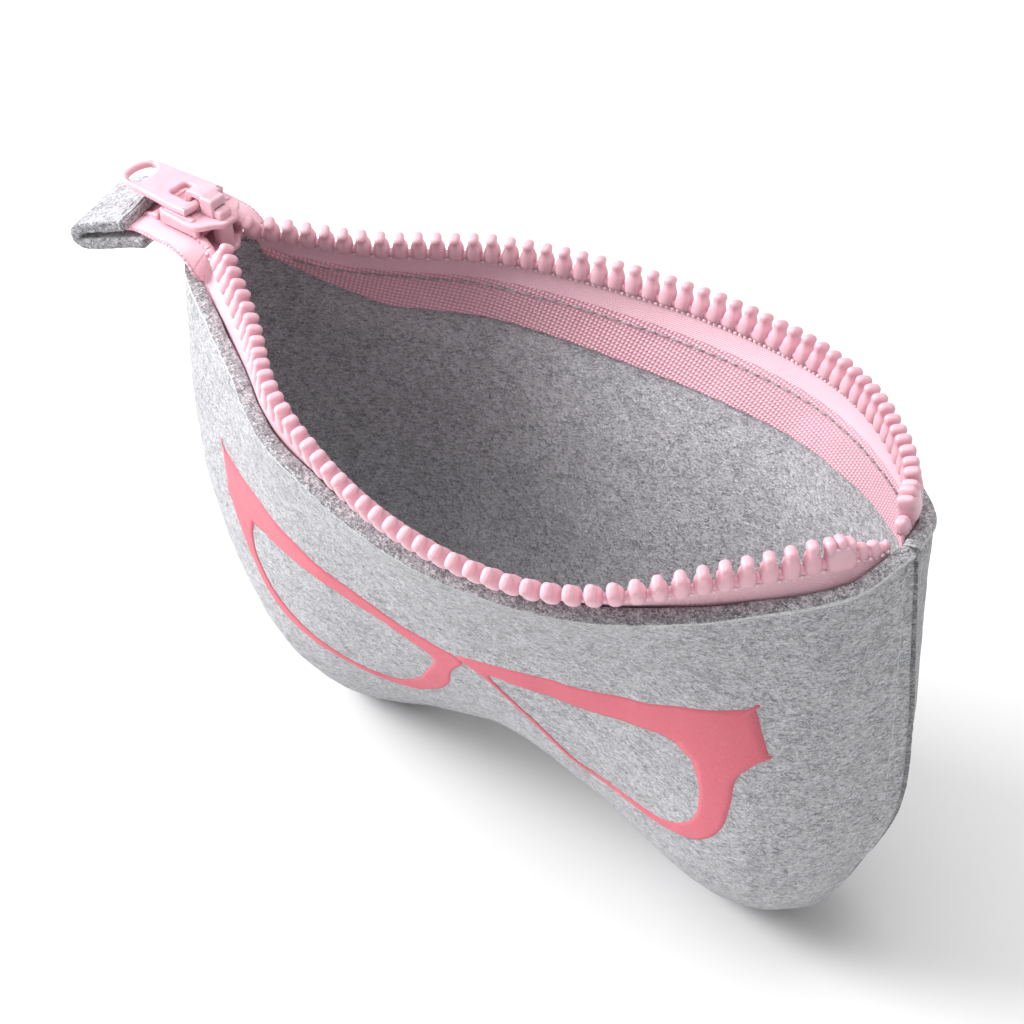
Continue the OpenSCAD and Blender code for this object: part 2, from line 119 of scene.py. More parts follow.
def side_points(top, corner, sign):
    rows = [[top[0], top[2]]]
    for i, swell in enumerate(side_swell):
        rows.append([sign * swell * half_l, top[2] + (corner[1] - top[2]) * (i + 1) / 4])
    return np.array(rows + [list(corner)])


left_side = side_points(mouth_points[0], lower_points[0], -1)
right_side = side_points(mouth_points[8], lower_points[8], 1)

# ---- Curves ----


def between(a, b, c, d, f):
    """Catmull-Rom curve from b to c, at share f."""
    return (2*b + (c - a)*f + (2*a - 5*b + 4*c - d)*f**2 + (3*b - a - 3*c + d)*f**3) / 2


def spline(rows, t):
    """Smooth curve through the rows, for an array of t from 0 to 1."""
    rows = np.asarray(rows, float)
    n = len(rows) - 1
    ends = np.vstack([2 * rows[0] - rows[1], rows, 2 * rows[-1] - rows[-2]])
    x = np.clip(np.asarray(t, float), 0, 1) * n
    i = np.minimum(x.astype(int), n - 1)
    f = (x - i)[:, None]
    return between(ends[i], ends[i + 1], ends[i + 2], ends[i + 3], f)


def ring_spline(rows, t):
    """Smooth closed curve through the rows."""
    rows = np.asarray(rows, float)
    n = len(rows)
    x = (np.asarray(t, float) % 1) * n
    i = np.minimum(x.astype(int), n - 1)
    f = (x - i)[:, None]
    return between(*(rows[(i + k) % n] for k in (-1, 0, 1, 2)), f)


def unit(v):
    return v / np.maximum(np.linalg.norm(v, axis=-1, keepdims=True), 1e-9)


def lattice_noise(points, size, seed):
    """Smooth noise from -1 to 1 in space, with bumps about size apart."""
    rng = np.random.default_rng(seed)
    table = rng.uniform(-1, 1, 4096)
    p = np.asarray(points, float) / size
    cell = np.floor(p).astype(np.int64)
    f = p - cell
    f = f * f * (3 - 2 * f)
    total = np.zeros(len(p))
    for corner in range(8):
        step = np.array([corner & 1, corner >> 1 & 1, corner >> 2 & 1])
        key = (cell + step) @ np.array([73856093, 19349663, 83492791])
        weight = np.prod(np.where(step == 1, f, 1 - f), axis=1)
        total += table[(key ^ (key >> 13)) % 4096] * weight
    return total


# ---- Shape of a panel. All of it is for the rear one, and the front is its mirror ----


def mouth_along(u):
    t = spline(mouth_points, np.minimum(u + 0.005, 1)) - spline(mouth_points, np.maximum(u - 0.005, 0))
    return unit(t[:, :2])


def down_dir(u, lean):
    t, a = mouth_along(u), np.radians(spline(lean, u)[:, 0])
    return np.stack([-t[:, 1] * np.sin(a), t[:, 0] * np.sin(a), -np.cos(a)], -1)


def out_dir(u, lean):
    t, a = mouth_along(u), np.radians(spline(lean, u)[:, 0])
    return np.stack([-t[:, 1] * np.cos(a), t[:, 0] * np.cos(a), np.sin(a)], -1)


def panel_strip(u, v, lean):
    a, low = spline(mouth_points, u), spline(lower_points, u)
    d = np.stack([low[:, 0], 0 * u, low[:, 1]], -1)
    reach = np.linalg.norm(a - d, axis=1)[:, None]
    full = math.sin(lower_fullness) * np.clip(a[:, 1] / 20, 0, 1)
    up = unit(np.stack([0 * u, full, 0 * u + math.cos(lower_fullness)], -1))
    b = a + down_dir(u, lean) * upper_reach * reach
    c = d + up * lower_reach * reach
    w = v[:, None]
    return a*(1 - w)**3 + 3*b*w*(1 - w)**2 + 3*c*w**2*(1 - w) + d*w**3


def panel_mid(u, v, lean):
    shifts = 0
    for side, end, share in ((left_side, 0.0, (1 - u)**3), (right_side, 1.0, u**3)):
        p = spline(side, v)
        seam = np.stack([p[:, 0], 0 * v, p[:, 1]], -1)
        shifts = shifts + (seam - panel_strip(0 * v + end, v, lean)) * share[:, None]
    return panel_strip(u, v, lean) + shifts


def panel_out(u, v, lean, e=0.004):
    du = panel_mid(np.minimum(u + e, 1), v, lean) - panel_mid(np.maximum(u - e, 0), v, lean)
    dv = panel_mid(u, np.minimum(v + e, 1), lean) - panel_mid(u, np.maximum(v - e, 0), lean)
    return unit(np.cross(du, dv))


def panel_drop(u, lean):
    """Share of the panel's height that one millimetre down from the mouth is."""
    zero = 0 * u
    return 0.02 / np.linalg.norm(panel_mid(u, zero + 0.02, lean) - panel_mid(u, zero, lean), axis=1)


foot_lift = felt_t / 2
# The felt of the two panels is pressed together along the seam
seam_press = -0.12
stitch_drop = 2.3


def soft_mid(u, v, lean):
    """The panel's middle surface with the small unevenness of hand-cut, sewn felt."""
    p, out = panel_mid(u, v, lean), panel_out(u, v, lean)
    seed = int(lean[0, 0])
    calm = np.clip(np.minimum(u, 1 - u) / 0.06, 0, 1) * np.clip((1 - v) / 0.08, 0, 1)
    wave = 0.35 * lattice_noise(p, 17, seed) + 0.16 * lattice_noise(p, 6, seed + 1)
    fine = 0.05 * lattice_noise(p, 2.2, seed + 2)
    drop = v / panel_drop(u, lean)
    pull = -0.46 * np.exp(-((drop - stitch_drop) / 0.8)**2)
    roll = 0.36 * np.exp(-((drop - 0.8) / 0.7)**2)
    p = p + out * ((wave * calm + fine + pull + roll)[:, None])
    return np.stack([p[:, 0], np.maximum(p[:, 1], 0.05), np.maximum(p[:, 2], foot_lift)], -1), out


# ---- Meshes and pieces ----


def in_frame(points, side):
    """Millimetres about the middle of the pouch to metres in the frame, mirrored for the front."""
    p = np.array(points, float).reshape(-1, 3)
    if side < 0:
        p = p * [1, -1, 1]
    return (p + MIDDLE) * MM


def grid_faces(rows, columns, close_rows=False, close_columns=False):
    faces = []
    for i in range(rows if close_rows else rows - 1):
        for j in range(columns if close_columns else columns - 1):
            a, b = i * columns + j, (i + 1) % rows * columns + j
            c, d = (i + 1) % rows * columns + (j + 1) % columns, i * columns + (j + 1) % columns
            faces.append((a, b, c, d))
    return faces


def linked(name, data):
    obj = bpy.data.objects.new(name, data)
    bpy.context.scene.collection.objects.link(obj)
    return obj


def add_mesh(name, points, faces, materials, uv=None, smooth=True, turn_out=True):
    mesh = bpy.data.meshes.new(name)
    mesh.from_pydata([tuple(p) for p in points], [], faces)
    if turn_out:
        work = bmesh.new()
        work.from_mesh(mesh)
        bmesh.ops.recalc_face_normals(work, faces=work.faces)
        work.to_mesh(mesh)
        work.free()
    for material in materials:
        mesh.materials.append(material)
    if smooth:
        mesh.shade_smooth()
    if uv is not None:
        layer = mesh.uv_layers.new(name="lay")
        corners = np.zeros(len(mesh.loops), np.int32)
        mesh.loops.foreach_get("vertex_index", corners)
        layer.data.foreach_set("uv", np.asarray(uv, np.float32)[corners].ravel())
    return linked(name, mesh)


def place_cloth(obj, side):
    """Takes a mesh drawn in millimetres for the rear into the frame, mirrored for the front."""
    obj.data.transform(Matrix.Diagonal((MM, side * MM, MM, 1)))
    obj.data.transform(Matrix.Translation(Vector(MIDDLE * MM)))
    if side < 0:
        obj.data.flip_normals()


# How the soft pieces would close when the slider runs to its far end: a point at depth y from the seam
# plane would go to keep * y + rest_at, on its own side. The closing is not applied; each piece only gets
# its own copy of its mesh.
def close_flat(obj, side, keep, rest_at):
    anchor_y = middle_y + side * rest_at / (1 - keep)
    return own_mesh(obj, "slider_travel", axis=(0, 1, 0), anchor=(0, anchor_y * MM, 0), keep=keep)


felt_keep = 0.12
felt_rest = 1.4
tape_keep = 0.03
tape_rest = 0.5
tooth_rest = 1.0
end_keep = 0.72
# Where the slider ends its travel, how far before that the teeth start to sink, and to where
slider_travel = 162
closed_slider_x = slider_x + slider_travel
closed_ramp = 16
closed_top = 112.2


def finish_piece(obj, body, replaced=()):
    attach(obj, body)
    if replaced:
        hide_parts(*replaced)
    return obj


# ---- Materials ----


class Math:
    """A shader value that Python arithmetic turns into Math nodes."""

    def __init__(self, tree, socket):
        self.tree, self.socket = tree, socket

    def _node(self, operation, *others):
        node = self.tree.nodes.new("ShaderNodeMath")
        node.operation = operation
        for k, value in enumerate((self,) + others):
            if isinstance(value, Math):
                self.tree.links.new(value.socket, node.inputs[k])
            else:
                node.inputs[k].default_value = value
        return Math(self.tree, node.outputs[0])

    def __add__(self, other):
        return self._node("ADD", other)

    def __sub__(self, other):
        return self._node("SUBTRACT", other)

    def __mul__(self, other):
        return self._node("MULTIPLY", other)

    def sine(self):
        return self._node("SINE")

    def power(self, other):
        return self._node("POWER", other)

    def remap(self, low, high, to_low=0.0, to_high=1.0):
        node = self.tree.nodes.new("ShaderNodeMapRange")
        node.interpolation_type = "SMOOTHSTEP"
        self.tree.links.new(self.socket, node.inputs["Value"])
        for name, value in (("From Min", low), ("From Max", high),
                            ("To Min", to_low), ("To Max", to_high)):
            node.inputs[name].default_value = value
        return Math(self.tree, node.outputs["Result"])


class Finish:
    """A Principled material under construction."""

    def __init__(self, name, **fixed):
        self.material = bpy.data.materials.new(name)
        self.material.use_nodes = True
        self.tree = self.material.node_tree
        self.shader = self.tree.nodes["Principled BSDF"]
        for socket, value in fixed.items():
            self.shader.inputs[socket.replace("_", " ")].default_value = value

    def link(self, a, b):
        self.tree.links.new(a.socket if isinstance(a, Math) else a, b)

    def place(self, scale, turn):
        coord = self.tree.nodes.new("ShaderNodeTexCoord")
        mapping = self.tree.nodes.new("ShaderNodeMapping")
        mapping.inputs["Scale"].default_value = scale
        mapping.inputs["Rotation"].default_value = turn
        self.link(coord.outputs["Object"], mapping.inputs["Vector"])
        return mapping.outputs["Vector"]

    def noise(self, scale, detail, roughness, distortion=0.0, stretch=(1, 1, 1), turn=(0, 0, 0)):
        node = self.tree.nodes.new("ShaderNodeTexNoise")
        for socket, value in (("Scale", scale), ("Detail", detail), ("Roughness", roughness),
                              ("Distortion", distortion)):
            node.inputs[socket].default_value = value
        self.link(self.place(stretch, turn), node.inputs["Vector"])
        return Math(self.tree, node.outputs["Fac"])

    def mix(self, share, a, b):
        node = self.tree.nodes.new("ShaderNodeMix")
        node.data_type = "RGBA"
        self.link(share, node.inputs["Factor"])
        for socket, value in ((node.inputs[6], a), (node.inputs[7], b)):
            if isinstance(value, tuple):
                socket.default_value = (*value, 1)
            else:
                self.link(value, socket)
        return node.outputs[2]

    def colour(self, socket):
        self.link(socket, self.shader.inputs["Base Color"])

    def bump(self, height, distance, strength):
        node = self.tree.nodes.new("ShaderNodeBump")
        node.inputs["Strength"].default_value = strength
        node.inputs["Distance"].default_value = distance
        self.link(height, node.inputs["Height"])
        self.link(node.outputs["Normal"], self.shader.inputs["Normal"])


def felt_fibres(finish):
    """Clumps, and three families of short curly fibres that lie in different directions."""
    clumps = finish.noise(700, 4, 0.62, 0.6)
    lay_a = finish.noise(820, 3, 0.7, 1.2, (1, 1, 2.0), (0.9, 0.9, 0.2))
    lay_b = finish.noise(880, 3, 0.7, 1.4, (1, 1, 2.0), (0.5, -1.3, 0.9))
    lay_c = finish.noise(1200, 2, 0.75, 1.0, (1, 1, 1.8), (1.4, 0.1, 0.4))
    return clumps, lay_a, lay_b, lay_c


def felt_finish(name, base, dark, light, contrast=1.0):
    finish = Finish(name, Roughness=0.92, Sheen_Weight=0.22, Sheen_Roughness=0.45,
                    Specular_IOR_Level=0.18)
    clumps, lay_a, lay_b, lay_c = felt_fibres(finish)
    patchy = finish.noise(60, 2, 0.5)
    mottle = finish.noise(260, 3, 0.6, 0.8)
    colour = finish.mix(patchy.remap(0.3, 0.7, 0.0, 0.35), base, tuple(c * 0.90 for c in base))
    for layer, low, high, share, tone in (
            (mottle, 0.42, 0.66, 0.30, dark), (clumps, 0.48, 0.68, 0.45, dark),
            (lay_a, 0.48, 0.62, 0.55, dark), (lay_b, 0.48, 0.60, 0.60, light),
            (lay_c, 0.52, 0.64, 0.55, dark)):
        colour = finish.mix(layer.remap(low, high, 0.0, share * contrast), colour, tone)
    finish.colour(colour)
    finish.bump(clumps * 0.6 + lay_a * 0.4 + lay_b * 0.4 + lay_c * 0.3, 0.0008, 0.9)
    return finish.material


def ink_finish(name, base, thin):
    finish = Finish(name, Roughness=0.8, Sheen_Weight=0.1, Specular_IOR_Level=0.25)
    clumps, lay_a, lay_b, lay_c = felt_fibres(finish)
    colour = finish.mix(lay_a.remap(0.5, 0.68, 0.0, 0.5), base, tuple(c * 0.86 for c in base))
    colour = finish.mix(lay_b.remap(0.60, 0.72, 0.0, 0.4), colour, thin)
    finish.colour(colour)
    finish.bump(clumps * 0.5 + lay_a * 0.3 + lay_b * 0.3 + lay_c * 0.2, 0.0005, 0.6)
    return finish.material


def plastic_finish(name, base):
    finish = Finish(name, Roughness=0.36, Subsurface_Weight=0.22, Subsurface_Scale=0.0016,
                    Specular_IOR_Level=0.38, Coat_Weight=0.04, Coat_Roughness=0.25)
    finish.shader.inputs["Subsurface Radius"].default_value = (1.0, 0.55, 0.5)
    cloudy = finish.noise(240, 2, 0.5)
    deeper = (base[0] * 0.97, base[1] * 0.93, base[2] * 0.94)
    finish.colour(finish.mix(cloudy.remap(0.3, 0.7), base, deeper))
    finish.bump(finish.noise(1500, 2, 0.5), 0.00006, 0.5)
    return finish.material


def thread_finish(name, base):
    finish = Finish(name, Roughness=0.75, Sheen_Weight=0.2)
    twist = finish.noise(1400, 2, 0.6, 0.0, (2.5, 1, 1), (0, 0.6, 0.4))
    finish.colour(finish.mix(twist.remap(0.35, 0.65), base, tuple(c * 0.72 for c in base)))
    finish.bump(twist, 0.00015, 0.8)
    return finish.material


def tape_finish(name, base, gap):
    """Woven tape. Its UV map holds millimetres along the tape and across it from the cord."""
    finish = Finish(name, Roughness=0.62, Sheen_Weight=0.25, Sheen_Roughness=0.4,
                    Specular_IOR_Level=0.3)
    uv = finish.tree.nodes.new("ShaderNodeUVMap")
    uv.uv_map = "lay"
    split = finish.tree.nodes.new("ShaderNodeSeparateXYZ")
    finish.link(uv.outputs["UV"], split.inputs["Vector"])
    along, across = Math(finish.tree, split.outputs["X"]), Math(finish.tree, split.outputs["Y"])
    turn = 2 * math.pi
    wander = finish.noise(420, 2, 0.5) * 0.5
    rib = (along * (turn / 0.98) + across * (turn / 2.4) + wander).sine() * 0.5 + 0.5
    row = (across * (turn / 0.92) - along * (turn / 6.5) + wander).sine() * 0.5 + 0.5
    weave = (rib * row).power(0.6)
    smooth_weave = (across * (turn / 0.42)).sine() * 0.12 + (along * (turn / 0.6)).sine() * 0.06 + 0.8
    chain = (along * (turn / 1.3)).sine() * 0.5 + 0.5
    woven = across.remap(5.4, 6.0)
    near_cord = across.remap(0.9, 1.3, 1.0, 0.0)
    height = weave * woven + smooth_weave * (woven * -1.0 + 1.0)
    height = height * (near_cord * -1.0 + 1.0) + chain * near_cord
    fuzz = finish.noise(1500, 2, 0.6)
    # The low parts of the weave, between the ribs, take the darker gap colour: painted shade
    colour = finish.mix(height.remap(0.18, 0.62), gap, base)
    colour = finish.mix(fuzz.remap(0.5, 0.75, 0.0, 0.3), colour, tuple(min(1, c * 1.12) for c in base))
    finish.colour(colour)
    finish.bump(height * 0.8 + fuzz * 0.2, 0.00028, 0.9)
    return finish.material


felt = felt_finish("grey_felt", (0.56, 0.56, 0.585), (0.11, 0.11, 0.125), (0.80, 0.80, 0.83))
felt_edge = felt_finish("lit_felt_edge", (0.76, 0.76, 0.78), (0.26, 0.26, 0.28), (0.84, 0.84, 0.86), 0.8)
# Darker copy of the felt for the cut faces of the panels and the tab: painted shade
cut_face_shade = felt_finish("cut_face_painted_shade", (0.40, 0.39, 0.41), (0.08, 0.08, 0.09), (0.70, 0.70, 0.72), 1.2)
ink = ink_finish("coral_ink", (0.66, 0.15, 0.195), (0.64, 0.38, 0.40))
plastic = plastic_finish("pink_plastic", (0.78, 0.47, 0.54))
# The second colour is painted shade for the gaps of the weave
tape_cloth = tape_finish("pink_tape", (0.87, 0.54, 0.62), (0.69, 0.34, 0.42))
thread_grey = thread_finish("grey_thread", (0.36, 0.34, 0.36))
thread_light = thread_finish("light_thread", (0.62, 0.62, 0.65))
cord_pink = plastic_finish("pink_cord", (0.80, 0.46, 0.54))
bead_pink = plastic_finish("pink_beads", (0.93, 0.68, 0.74))
film = plastic_finish("pink_film", (0.78, 0.43, 0.51))

# ---- Felt panels ----

panel_columns = 225
panel_rows = 97
cut_round = 0.45


def rounded_ends(mid, out, half):
    """Two more rows at each short end, and the half thickness of each row."""
    first, last = unit(mid[1] - mid[0]), unit(mid[-2] - mid[-1])
    mid = np.concatenate([mid[:1], mid[:1] + first * 0.12 * half, mid[:1] + first * 0.45 * half,
                          mid[1:-1], mid[-1:] + last * 0.45 * half,
                          mid[-1:] + last * 0.12 * half, mid[-1:]])
    out = np.concatenate([out[:1], out[:1], out, out[-1:], out[-1:]])
    shares = np.ones(len(mid))
    shares[[0, -1]], shares[[1, -2]] = 0.5, 0.86
    return mid, out, half * shares[:, None, None]


def slab(name, mid, out, thickness, materials, uv=None, fray=0.0, holds=None, round_ends=False):
    """Closed sheet round the grid mid[i, j], with rounded cut edges along its two long sides."""
    half = thickness / 2
    level_half = half
    if round_ends:
        mid, out, level_half = rounded_ends(mid, out, half)
    n, m = mid.shape[:2]
    skins = []
    for sign in (1, -1):
        skin = mid + out * level_half * sign
        for edge, inner in ((0, 1), (m - 1, m - 2)):
            reach = mid[:, edge] - mid[:, inner]
            back = np.minimum(cut_round * half, np.linalg.norm(reach, axis=1) * 0.8)
            skin[:, edge] -= unit(reach) * back[:, None]
        skins.append(skin if holds is None else holds[0 if sign > 0 else 1](skin))
    rims = []
    for edge, inner, order in ((m - 1, m - 2, 1), (0, 1, -1)):
        reach = unit(mid[:, edge] - mid[:, inner])
        rim = []
        for back, level in ((0.12, 0.88), (0.0, 0.55), (0.0, 0.0), (0.0, -0.55), (0.12, -0.88)):
            tall = level_half if np.isscalar(level_half) else level_half[:, 0]
            row = mid[:, edge] - reach * back * half + out[:, edge] * tall * level * order
            if fray:
                row = row + reach * fray * lattice_noise(row, 0.9, 31 + int(level * 10))[:, None]
            rim.append(row)
        rim = np.stack(rim, 1)
        rims.append(rim if holds is None else holds[0](rim))
    ring = np.concatenate([skins[0], rims[0], skins[1][:, ::-1], rims[1]], 1)
    w = ring.shape[1]
    faces = grid_faces(n, w, close_columns=True)
    rim_at = set(range(m - 1, m + 5)) | set(range(w - 6, w))
    marks = [1 if f[0] % w in rim_at else 0 for f in faces]
    far = 2 * m + 4
    for start in (0, (n - 1) * w):
        cap = [(j, j + 1, far - j - 1, far - j) for j in range(m + 1)]
        cap += [(m + 1, m + 2, m + 3), (0, far, far + 1, w - 1), (w - 1, far + 1, far + 2, w - 2),
                (w - 2, far + 2, w - 3)]
        faces += [tuple(start + k for k in face) for face in cap]
        marks += [1] * len(cap)
    ring_uv = None
    if uv is not None:
        first, last = np.repeat(uv[:, m-1:m], 5, 1), np.repeat(uv[:, :1], 5, 1)
        ring_uv = np.concatenate([uv, first, uv[:, ::-1], last], 1).reshape(-1, 2)
    obj = add_mesh(name, ring.reshape(-1, 3), faces, materials, ring_uv)
    if len(materials) > 1:
        obj.data.polygons.foreach_set("material_index", marks)
    return obj


def felt_panel(half, side, lean):
    u = np.linspace(0, 1, panel_columns)
    v = np.concatenate([[0, 0.004, 0.010, 0.018], np.linspace(0.028, 1, panel_rows)])
    grid_u, grid_v = np.meshgrid(u, v, indexing="ij")
    mid, out = soft_mid(grid_u.ravel(), grid_v.ravel(), lean)
    shape = grid_u.shape + (3,)

    def hold(low_z):
        def held(p):
            y, z = np.maximum(p[..., 1], seam_press), np.maximum(p[..., 2], low_z)
            return np.stack([p[..., 0], y, z], -1)
        return held

    # Rims and ends take the darker felt, which is painted shade
    obj = slab(f"{half}_panel", mid.reshape(shape), out.reshape(shape), felt_t,
               [felt, cut_face_shade, felt_edge], fray=0.22, holds=(hold(0), hold(2.2)))
    # The corner of the cut edge has a lighter felt, as it catches the light
    columns = 2 * len(v) + 10
    for face in obj.data.polygons:
        if face.vertices[0] % columns < 3 and face.index < (panel_columns - 1) * columns:
            face.material_index = 2
    place_cloth(obj, side)
    close_flat(obj, side, felt_keep, felt_rest)
    return finish_piece(obj, "case", [f"{half}_felt_panel"])


panels = {half[0]: felt_panel(*half) for half in HALVES}

# ---- Printed motif: a pair of lens rims, as outer and inner points in the panel's u and v ----

right_lens = [
    [0.5, 0.425, 0.536, 0.452], [0.54, 0.402, 0.56, 0.449], [0.598, 0.38, 0.598, 0.442],
    [0.652, 0.358, 0.65, 0.428], [0.715, 0.306, 0.702, 0.388], [0.765, 0.256, 0.736, 0.36],
    [0.822, 0.226, 0.756, 0.358], [0.822, 0.226, 0.756, 0.358], [0.84, 0.335, 0.773, 0.38],
    [0.84, 0.335, 0.773, 0.38], [0.816, 0.385, 0.781, 0.425], [0.812, 0.456, 0.782, 0.472],
    [0.804, 0.53, 0.778, 0.52], [0.78, 0.588, 0.764, 0.562], [0.74, 0.625, 0.736, 0.604],
    [0.688, 0.66, 0.686, 0.644], [0.632, 0.684, 0.634, 0.67], [0.592, 0.64, 0.597, 0.628],
    [0.556, 0.556, 0.563, 0.552], [0.526, 0.47, 0.536, 0.476],
]
left_lens = [
    [0.484, 0.51, 0.466, 0.496], [0.466, 0.602, 0.453, 0.545], [0.432, 0.682, 0.426, 0.628],
    [0.388, 0.712, 0.39, 0.672], [0.345, 0.655, 0.35, 0.64], [0.3, 0.592, 0.31, 0.575],
    [0.27, 0.54, 0.284, 0.522], [0.25, 0.469, 0.264, 0.462], [0.236, 0.385, 0.258, 0.4],
    [0.21, 0.325, 0.261, 0.35], [0.21, 0.325, 0.261, 0.35], [0.216, 0.222, 0.272, 0.318],
    [0.216, 0.222, 0.272, 0.318], [0.3, 0.232, 0.296, 0.314], [0.345, 0.256, 0.33, 0.325],
    [0.385, 0.298, 0.376, 0.346], [0.417, 0.334, 0.41, 0.376], [0.446, 0.38, 0.436, 0.412],
    [0.478, 0.412, 0.452, 0.44], [0.504, 0.44, 0.466, 0.466],
]
ink_low = -0.1
ink_top = 0.22


def printed_ring(name, lens, around=420, across=9):
    rows = ring_spline(lens, np.arange(around) / around)
    share = np.linspace(0, 1, across)[None, :]
    u = rows[:, 0:1] * (1 - share) + rows[:, 2:3] * share
    v = rows[:, 1:2] * (1 - share) + rows[:, 3:4] * share
    mid, out = soft_mid(u.ravel(), v.ravel(), front_lean)
    mid, out = mid.reshape(around, across, 3), out.reshape(around, across, 3)
    lift = np.full(across, ink_top)
    lift[[0, -1]] = 0.05
    top = mid + out * (felt_t / 2 + lift)[None, :, None]
    low = mid + out * (felt_t / 2 + ink_low)
    ring = np.concatenate([top, low[:, ::-1]], 1)
    faces = grid_faces(around, 2 * across, close_rows=True, close_columns=True)
    obj = add_mesh(name, in_frame(ring, -1), faces, [ink])
    close_flat(obj, -1, felt_keep, felt_rest)
    return finish_piece(obj, "case", ["front_print"])


printed_ring("left_lens_print", left_lens)
printed_ring("right_lens_print", right_lens)

# ---- The line of the zip: cord place and direction across the tape, away from the teeth ----

first_u = 8 / cells_u
last_u = 54.7 / cells_u
# Shares of the mouth where the tape starts to widen and over which it reaches its whole width
widen_from = 0.14
widen_over = 0.12
tape_turn = 0.6


def bare_at(u):
    """Bare tape between the cord and the felt, which dips into the felt at the right end."""
    share = np.clip((u - 0.89) / 0.08, 0, 1)
    return bare_tape * (1 - 0.62 * share * share * (3 - 2 * share))


def mouth_cord(u, lean):
    rise = bare_at(u)[:, None]
    return spline(mouth_points, u) - down_dir(u, lean) * rise - out_dir(u, lean) * cord_lift


def free_rows():
    """Rows from under the felt tab to where the mouth starts; way is the tape's turn in degrees."""
    straight = [(x, cord_spread, 90) for x in (-111, -107, -103, -98, -93)]
    rows = []
    for x, y, way in straight + [(-88, cord_spread, 88), (-84, 4.8, 78), (-81, 5.5, 60)]:
        droop = min(x - tab_start, 0) * math.tan(tab_droop)
        a = math.radians(way)
        rows.append([x, y, zip_z + droop - max(x + 84, 0) * 0.4, 0, math.sin(a), -math.cos(a)])
    return np.array(rows)


def zip_line(lean, fine=4):
    """Rows of cord place and direction across, and where the mouth's own rows start."""
    u = np.linspace(first_u, last_u, 46 * fine + 1)
    mouth = np.concatenate([mouth_cord(u, lean), down_dir(u, lean)], 1)
    coarse = np.vstack([free_rows(), mouth[[0, fine]]])
    free = spline(coarse, np.linspace(0, 8, 8 * 6, endpoint=False) / 9)
    line = np.vstack([free, mouth])
    line[:, 3:] = unit(line[:, 3:])
    return line, len(free), u


def run_of(points):
    steps = np.linalg.norm(np.diff(points, axis=0), axis=1)
    return np.concatenate([[0], np.cumsum(steps)])


def at_run(rows, run, s):
    """The rows' columns, read at distance s along the run."""
    return np.stack([np.interp(s, run, column) for column in rows.T], -1)


def zip_frame(line, run, s):
    """Matrix with x along the tape, y towards the teeth and z out of the tape, in millimetres."""
    here, before, after = at_run(line, run, s), at_run(line, run, s - 1), at_run(line, run, s + 1)
    across = unit(here[3:])
    along = after[:3] - before[:3]
    x = unit(along - across * (along @ across))
    y = -across
    z = np.cross(x, y)
    place = np.eye(4)
    place[:3] = np.stack([x, y, z, here[:3]], 1)
    return place


def place_in(place, points):
    return np.asarray(points) @ place[:3, :3].T + place[:3, 3]


# ---- Tapes and cords ----

tape_columns = 33
# The tapes and cords are in two lengths, parted near the slider, and the end by the slider gets its own
# closing factors so that it would stay flat as the zip closes. The lengths part there. The closing
# itself is not applied.
end_x = -81.5
cord_keep = 0.06
cord_rest = 0.6
bead_row = 1.1
bead_pitch = 1.3


def two_lengths(x, keep, rest):
    """The name's ending, the rows and the closing factors of the long and the short length."""
    split = int(np.argmax(x > end_x))
    return ("", slice(split, None), keep, rest), ("_end", slice(0, split + 1), end_keep, 0)


def tape_grid(lean):
    line, free_count, u = zip_line(lean)
    free, mouth = line[:free_count], line[free_count:]
    reach = np.linspace(0, 1, 5)
    free_grid = free[:, None, :3] + free[:, None, 3:] * (reach * free_width)[None, :, None]
    start_width = free_width + 1
    wide = start_width + (tape_width - start_width) * np.clip((u - widen_from) / widen_over, 0, 1)
    tall = 1 / panel_drop(u, lean)
    lift = -felt_t / 2 - tape_clear - tape_t / 2
    inside = wide - bare_tape
    knots = [mouth[:, :3], mouth[:, :3] + mouth[:, 3:] * (bare_at(u)[:, None] - tape_turn)]
    for share in (0.33, 0.67, 1):
        mid, out = soft_mid(u, share * inside / tall, lean)
        knots.append(mid + out * lift)
    mouth_grid = np.stack(knots, 1)
    knots = np.concatenate([free_grid, mouth_grid], 0)
    # The last rows of the free tape turn into the shape of the mouth's tape
    row = np.arange(len(knots))[:, None, None]
    blend = 0.8 * np.clip((row - free_count + 7) / 7, 0, 1)
    steady = np.repeat(mouth_grid[:1] - mouth[:1, None, :3], len(knots), 0) + line[:, None, :3]
    knots = np.where(row < free_count, knots * (1 - blend) + steady * blend, knots)
    rows = np.stack([spline(k, np.linspace(0, 1, tape_columns)) for k in knots])
    return line, rows


def grid_out(rows):
    a = np.gradient(rows, axis=0)
    b = np.gradient(rows, axis=1)
    return unit(np.cross(b, a))


def across_of(rows):
    """Distance of each point of the grid across the tape, from the cord."""
    return np.cumsum(np.linalg.norm(np.diff(rows, axis=1, prepend=rows[:, :1]), axis=2), 1)


def zip_tape(half, side, lean):
    line, rows = tape_grid(lean)
    out = grid_out(rows)
    run = run_of(line[:, :3])
    uv = np.stack([np.repeat(run[:, None], tape_columns, 1), across_of(rows)], -1)
    ripple = 0.07 * lattice_noise(rows.reshape(-1, 3), 5, 61).reshape(rows.shape[:2])
    rows = rows + out * ripple[..., None]
    for part, cut, keep, rest in two_lengths(line[:, 0], tape_keep, tape_rest):
        obj = slab(f"{half}_tape{part}", rows[cut], out[cut], tape_t, [tape_cloth], uv[cut])
        place_cloth(obj, side)
        close_flat(obj, side, keep, rest)
        finish_piece(obj, "case", [f"{half}_zip_tape"])


